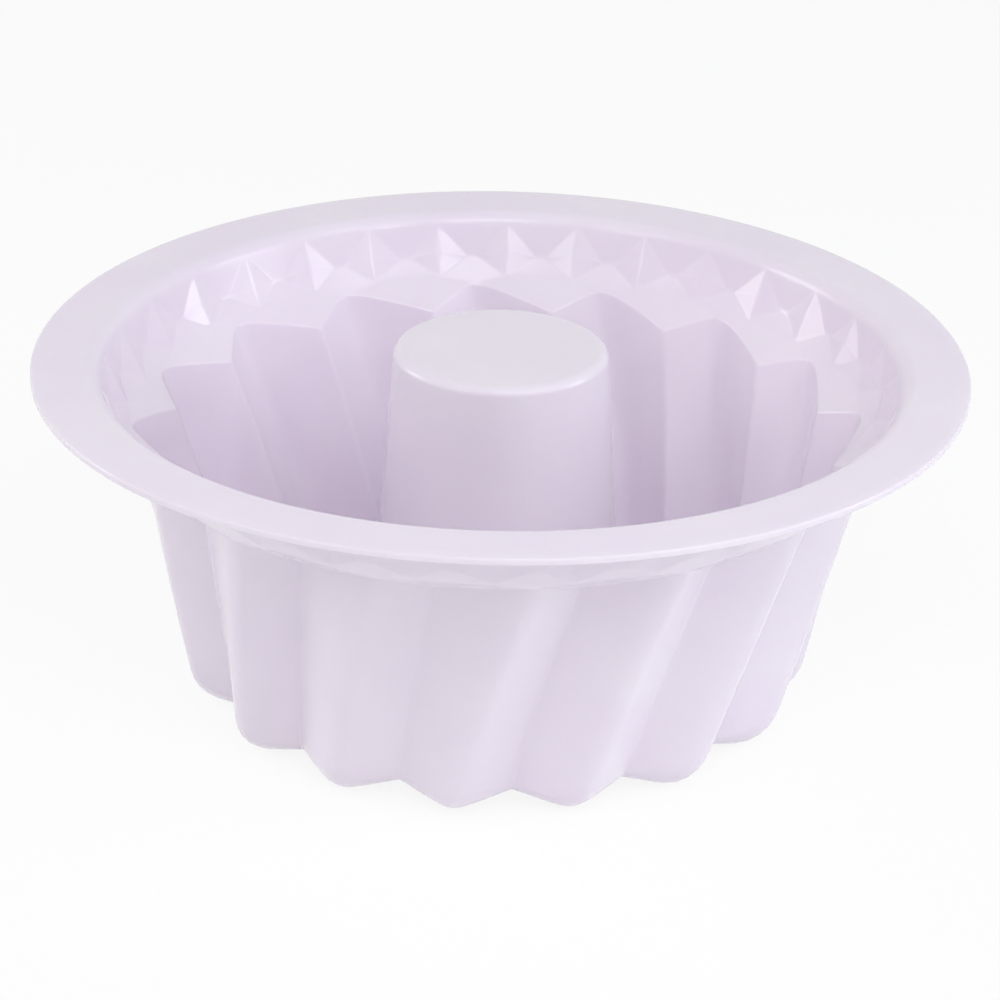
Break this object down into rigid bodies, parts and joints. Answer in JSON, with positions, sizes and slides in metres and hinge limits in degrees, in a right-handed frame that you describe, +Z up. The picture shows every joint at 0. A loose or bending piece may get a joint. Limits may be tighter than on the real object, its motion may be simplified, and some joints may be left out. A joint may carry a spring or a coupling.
{
  "type": "kugelhopf mould",
  "caption": "Round silicone ring-cake mould with swirled flutes, a facetted collar, a flat rim and a closed central tube, open above and hollow under the tube.",
  "frame": {"origin": "on the table, at the centre of the flat ring that the mould stands on", "axes": "+Z up along the axis of the tube; -Y is the side that faces the viewer in the picture"},
  "size_m": [0.25, 0.25, 0.098],
  "materials": {
    "silicone": "pale lilac silicone, smooth and softly glossy"
  },
  "bodies": {
    "root": {"mould": "silicone"}
  },
  "joints": []
}
